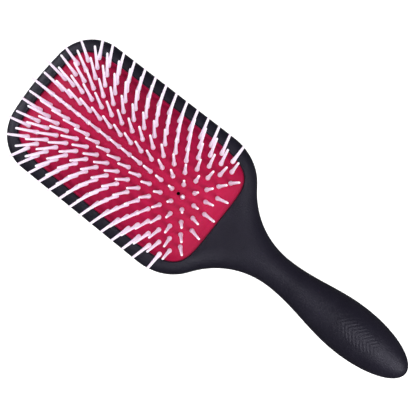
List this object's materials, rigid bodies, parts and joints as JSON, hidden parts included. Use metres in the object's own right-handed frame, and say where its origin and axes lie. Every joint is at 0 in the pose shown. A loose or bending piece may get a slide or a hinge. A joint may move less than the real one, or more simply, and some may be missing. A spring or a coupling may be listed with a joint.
{
  "type": "cushion paddle hairbrush",
  "caption": "Paddle hairbrush: a black one-piece head and handle holding a domed crimson rubber cushion set with tapered white nylon pins.",
  "frame": {"origin": "middle of the flat back of the head, on the surface that the brush lies on", "axes": "+Z out of the cushion along the middle pins, +Y towards the far end of the head, the handle runs towards -Y, +X across the head"},
  "size_m": [0.0894, 0.2531, 0.0435],
  "materials": {
    "body_plastic": "matt black moulded plastic with a very fine spark texture and softly rounded edges",
    "cushion_rubber": "satin crimson natural rubber, smooth and slightly translucent at the swell",
    "pin_nylon": "white moulded nylon, semi-gloss, faintly cool, with rounded tips"
  },
  "bodies": {
    "root": {"brush_body": "body_plastic", "cushion_pad": "cushion_rubber"},
    "pin_row_01_near": {"pin_row_01_near": "pin_nylon"},
    "pin_row_01_mid": {"pin_row_01_mid": "pin_nylon"},
    "pin_row_01_far": {"pin_row_01_far": "pin_nylon"},
    "pin_row_02_near": {"pin_row_02_near": "pin_nylon"},
    "pin_row_02_mid": {"pin_row_02_mid": "pin_nylon"},
    "pin_row_02_far": {"pin_row_02_far": "pin_nylon"},
    "pin_row_03_near": {"pin_row_03_near": "pin_nylon"},
    "pin_row_03_mid": {"pin_row_03_mid": "pin_nylon"},
    "pin_row_03_far": {"pin_row_03_far": "pin_nylon"},
    "pin_row_04_near": {"pin_row_04_near": "pin_nylon"},
    "pin_row_04_mid": {"pin_row_04_mid": "pin_nylon"},
    "pin_row_04_far": {"pin_row_04_far": "pin_nylon"},
    "pin_row_05_near": {"pin_row_05_near": "pin_nylon"},
    "pin_row_05_mid": {"pin_row_05_mid": "pin_nylon"},
    "pin_row_05_far": {"pin_row_05_far": "pin_nylon"},
    "pin_row_06_near": {"pin_row_06_near": "pin_nylon"},
    "pin_row_06_mid": {"pin_row_06_mid": "pin_nylon"},
    "pin_row_06_far": {"pin_row_06_far": "pin_nylon"},
    "pin_row_07_near": {"pin_row_07_near": "pin_nylon"},
    "pin_row_07_mid": {"pin_row_07_mid": "pin_nylon"},
    "pin_row_07_far": {"pin_row_07_far": "pin_nylon"},
    "pin_row_08_near": {"pin_row_08_near": "pin_nylon"},
    "pin_row_08_mid": {"pin_row_08_mid": "pin_nylon"},
    "pin_row_08_far": {"pin_row_08_far": "pin_nylon"},
    "pin_row_09_near": {"pin_row_09_near": "pin_nylon"},
    "pin_row_09_mid": {"pin_row_09_mid": "pin_nylon"},
    "pin_row_09_far": {"pin_row_09_far": "pin_nylon"},
    "pin_row_10_near": {"pin_row_10_near": "pin_nylon"},
    "pin_row_10_mid": {"pin_row_10_mid": "pin_nylon"},
    "pin_row_10_far": {"pin_row_10_far": "pin_nylon"},
    "pin_row_11_near": {"pin_row_11_near": "pin_nylon"},
    "pin_row_11_mid": {"pin_row_11_mid": "pin_nylon"},
    "pin_row_11_far": {"pin_row_11_far": "pin_nylon"},
    "pin_row_12_near": {"pin_row_12_near": "pin_nylon"},
    "pin_row_12_mid": {"pin_row_12_mid": "pin_nylon"},
    "pin_row_12_far": {"pin_row_12_far": "pin_nylon"},
    "pin_row_13_near": {"pin_row_13_near": "pin_nylon"},
    "pin_row_13_mid": {"pin_row_13_mid": "pin_nylon"},
    "pin_row_13_far": {"pin_row_13_far": "pin_nylon"}
  },
  "joints": [
    {"name": "cushion_press", "type": "slide", "parent": "root", "child": "pin_row_07_mid", "axis": [0, 0, -1], "range_m": [0, 0.004], "stiffness_N_per_m": 380, "deforming": ["cushion_pad"]},
    {"name": "press_row_01_near", "type": "slide", "parent": "root", "child": "pin_row_01_near", "axis": [0, 0, -1], "range_m": [0, 0.00041], "stiffness_N_per_m": 76},
    {"name": "press_row_01_mid", "type": "slide", "parent": "root", "child": "pin_row_01_mid", "axis": [0, 0, -1], "range_m": [0, 0.00107], "stiffness_N_per_m": 380},
    {"name": "press_row_01_far", "type": "slide", "parent": "root", "child": "pin_row_01_far", "axis": [0, 0, -1], "range_m": [0, 0.00041], "stiffness_N_per_m": 76},
    {"name": "press_row_02_near", "type": "slide", "parent": "root", "child": "pin_row_02_near", "axis": [0, 0, -1], "range_m": [0, 0.00147], "stiffness_N_per_m": 114},
    {"name": "press_row_02_mid", "type": "slide", "parent": "root", "child": "pin_row_02_mid", "axis": [0, 0, -1], "range_m": [0, 0.00207], "stiffness_N_per_m": 342},
    {"name": "press_row_02_far", "type": "slide", "parent": "root", "child": "pin_row_02_far", "axis": [0, 0, -1], "range_m": [0, 0.00154], "stiffness_N_per_m": 114},
    {"name": "press_row_03_near", "type": "slide", "parent": "root", "child": "pin_row_03_near", "axis": [0, 0, -1], "range_m": [0, 0.00173], "stiffness_N_per_m": 114},
    {"name": "press_row_03_mid", "type": "slide", "parent": "root", "child": "pin_row_03_mid", "axis": [0, 0, -1], "range_m": [0, 0.00279], "stiffness_N_per_m": 380},
    {"name": "press_row_03_far", "type": "slide", "parent": "root", "child": "pin_row_03_far", "axis": [0, 0, -1], "range_m": [0, 0.00184], "stiffness_N_per_m": 114},
    {"name": "press_row_04_near", "type": "slide", "parent": "root", "child": "pin_row_04_near", "axis": [0, 0, -1], "range_m": [0, 0.00241], "stiffness_N_per_m": 114},
    {"name": "press_row_04_mid", "type": "slide", "parent": "root", "child": "pin_row_04_mid", "axis": [0, 0, -1], "range_m": [0, 0.00339], "stiffness_N_per_m": 342},
    {"name": "press_row_04_far", "type": "slide", "parent": "root", "child": "pin_row_04_far", "axis": [0, 0, -1], "range_m": [0, 0.00251], "stiffness_N_per_m": 114},
    {"name": "press_row_05_near", "type": "slide", "parent": "root", "child": "pin_row_05_near", "axis": [0, 0, -1], "range_m": [0, 0.00232], "stiffness_N_per_m": 114},
    {"name": "press_row_05_mid", "type": "slide", "parent": "root", "child": "pin_row_05_mid", "axis": [0, 0, -1], "range_m": [0, 0.00375], "stiffness_N_per_m": 380},
    {"name": "press_row_05_far", "type": "slide", "parent": "root", "child": "pin_row_05_far", "axis": [0, 0, -1], "range_m": [0, 0.00246], "stiffness_N_per_m": 114},
    {"name": "press_row_06_near", "type": "slide", "parent": "root", "child": "pin_row_06_near", "axis": [0, 0, -1], "range_m": [0, 0.00284], "stiffness_N_per_m": 114},
    {"name": "press_row_06_mid", "type": "slide", "parent": "root", "child": "pin_row_06_mid", "axis": [0, 0, -1], "range_m": [0, 0.00402], "stiffness_N_per_m": 342},
    {"name": "press_row_06_far", "type": "slide", "parent": "root", "child": "pin_row_06_far", "axis": [0, 0, -1], "range_m": [0, 0.00297], "stiffness_N_per_m": 114},
    {"name": "press_row_07_near", "type": "slide", "parent": "root", "child": "pin_row_07_near", "axis": [0, 0, -1], "range_m": [0, 0.0025], "stiffness_N_per_m": 114},
    {"name": "press_row_07_far", "type": "slide", "parent": "root", "child": "pin_row_07_far", "axis": [0, 0, -1], "range_m": [0, 0.00266], "stiffness_N_per_m": 114},
    {"name": "press_row_08_near", "type": "slide", "parent": "root", "child": "pin_row_08_near", "axis": [0, 0, -1], "range_m": [0, 0.00284], "stiffness_N_per_m": 114},
    {"name": "press_row_08_mid", "type": "slide", "parent": "root", "child": "pin_row_08_mid", "axis": [0, 0, -1], "range_m": [0, 0.00402], "stiffness_N_per_m": 342},
    {"name": "press_row_08_far", "type": "slide", "parent": "root", "child": "pin_row_08_far", "axis": [0, 0, -1], "range_m": [0, 0.00297], "stiffness_N_per_m": 114},
    {"name": "press_row_09_near", "type": "slide", "parent": "root", "child": "pin_row_09_near", "axis": [0, 0, -1], "range_m": [0, 0.00232], "stiffness_N_per_m": 114},
    {"name": "press_row_09_mid", "type": "slide", "parent": "root", "child": "pin_row_09_mid", "axis": [0, 0, -1], "range_m": [0, 0.00375], "stiffness_N_per_m": 380},
    {"name": "press_row_09_far", "type": "slide", "parent": "root", "child": "pin_row_09_far", "axis": [0, 0, -1], "range_m": [0, 0.00246], "stiffness_N_per_m": 114},
    {"name": "press_row_10_near", "type": "slide", "parent": "root", "child": "pin_row_10_near", "axis": [0, 0, -1], "range_m": [0, 0.00241], "stiffness_N_per_m": 114},
    {"name": "press_row_10_mid", "type": "slide", "parent": "root", "child": "pin_row_10_mid", "axis": [0, 0, -1], "range_m": [0, 0.00339], "stiffness_N_per_m": 342},
    {"name": "press_row_10_far", "type": "slide", "parent": "root", "child": "pin_row_10_far", "axis": [0, 0, -1], "range_m": [0, 0.00251], "stiffness_N_per_m": 114},
    {"name": "press_row_11_near", "type": "slide", "parent": "root", "child": "pin_row_11_near", "axis": [0, 0, -1], "range_m": [0, 0.00173], "stiffness_N_per_m": 114},
    {"name": "press_row_11_mid", "type": "slide", "parent": "root", "child": "pin_row_11_mid", "axis": [0, 0, -1], "range_m": [0, 0.00279], "stiffness_N_per_m": 380},
    {"name": "press_row_11_far", "type": "slide", "parent": "root", "child": "pin_row_11_far", "axis": [0, 0, -1], "range_m": [0, 0.00184], "stiffness_N_per_m": 114},
    {"name": "press_row_12_near", "type": "slide", "parent": "root", "child": "pin_row_12_near", "axis": [0, 0, -1], "range_m": [0, 0.00147], "stiffness_N_per_m": 114},
    {"name": "press_row_12_mid", "type": "slide", "parent": "root", "child": "pin_row_12_mid", "axis": [0, 0, -1], "range_m": [0, 0.00207], "stiffness_N_per_m": 342},
    {"name": "press_row_12_far", "type": "slide", "parent": "root", "child": "pin_row_12_far", "axis": [0, 0, -1], "range_m": [0, 0.00154], "stiffness_N_per_m": 114},
    {"name": "press_row_13_near", "type": "slide", "parent": "root", "child": "pin_row_13_near", "axis": [0, 0, -1], "range_m": [0, 0.00041], "stiffness_N_per_m": 76},
    {"name": "press_row_13_mid", "type": "slide", "parent": "root", "child": "pin_row_13_mid", "axis": [0, 0, -1], "range_m": [0, 0.00107], "stiffness_N_per_m": 380},
    {"name": "press_row_13_far", "type": "slide", "parent": "root", "child": "pin_row_13_far", "axis": [0, 0, -1], "range_m": [0, 0.00041], "stiffness_N_per_m": 76}
  ],
  "couplings": [
    {"joint": "press_row_01_near", "follows": "cushion_press", "ratio": 0.09},
    {"joint": "press_row_01_mid", "follows": "cushion_press", "ratio": 0.255},
    {"joint": "press_row_01_far", "follows": "cushion_press", "ratio": 0.09},
    {"joint": "press_row_02_near", "follows": "cushion_press", "ratio": 0.356},
    {"joint": "press_row_02_mid", "follows": "cushion_press", "ratio": 0.504},
    {"joint": "press_row_02_far", "follows": "cushion_press", "ratio": 0.372},
    {"joint": "press_row_03_near", "follows": "cushion_press", "ratio": 0.421},
    {"joint": "press_row_03_mid", "follows": "cushion_press", "ratio": 0.686},
    {"joint": "press_row_03_far", "follows": "cushion_press", "ratio": 0.448},
    {"joint": "press_row_04_near", "follows": "cushion_press", "ratio": 0.589},
    {"joint": "press_row_04_mid", "follows": "cushion_press", "ratio": 0.836},
    {"joint": "press_row_04_far", "follows": "cushion_press", "ratio": 0.615},
    {"joint": "press_row_05_near", "follows": "cushion_press", "ratio": 0.567},
    {"joint": "press_row_05_mid", "follows": "cushion_press", "ratio": 0.925},
    {"joint": "press_row_05_far", "follows": "cushion_press", "ratio": 0.603},
    {"joint": "press_row_06_near", "follows": "cushion_press", "ratio": 0.698},
    {"joint": "press_row_06_mid", "follows": "cushion_press", "ratio": 0.992},
    {"joint": "press_row_06_far", "follows": "cushion_press", "ratio": 0.729},
    {"joint": "press_row_07_near", "follows": "cushion_press", "ratio": 0.612},
    {"joint": "press_row_07_far", "follows": "cushion_press", "ratio": 0.652},
    {"joint": "press_row_08_near", "follows": "cushion_press", "ratio": 0.698},
    {"joint": "press_row_08_mid", "follows": "cushion_press", "ratio": 0.992},
    {"joint": "press_row_08_far", "follows": "cushion_press", "ratio": 0.729},
    {"joint": "press_row_09_near", "follows": "cushion_press", "ratio": 0.567},
    {"joint": "press_row_09_mid", "follows": "cushion_press", "ratio": 0.925},
    {"joint": "press_row_09_far", "follows": "cushion_press", "ratio": 0.603},
    {"joint": "press_row_10_near", "follows": "cushion_press", "ratio": 0.589},
    {"joint": "press_row_10_mid", "follows": "cushion_press", "ratio": 0.836},
    {"joint": "press_row_10_far", "follows": "cushion_press", "ratio": 0.615},
    {"joint": "press_row_11_near", "follows": "cushion_press", "ratio": 0.421},
    {"joint": "press_row_11_mid", "follows": "cushion_press", "ratio": 0.686},
    {"joint": "press_row_11_far", "follows": "cushion_press", "ratio": 0.448},
    {"joint": "press_row_12_near", "follows": "cushion_press", "ratio": 0.356},
    {"joint": "press_row_12_mid", "follows": "cushion_press", "ratio": 0.504},
    {"joint": "press_row_12_far", "follows": "cushion_press", "ratio": 0.372},
    {"joint": "press_row_13_near", "follows": "cushion_press", "ratio": 0.09},
    {"joint": "press_row_13_mid", "follows": "cushion_press", "ratio": 0.255},
    {"joint": "press_row_13_far", "follows": "cushion_press", "ratio": 0.09}
  ]
}
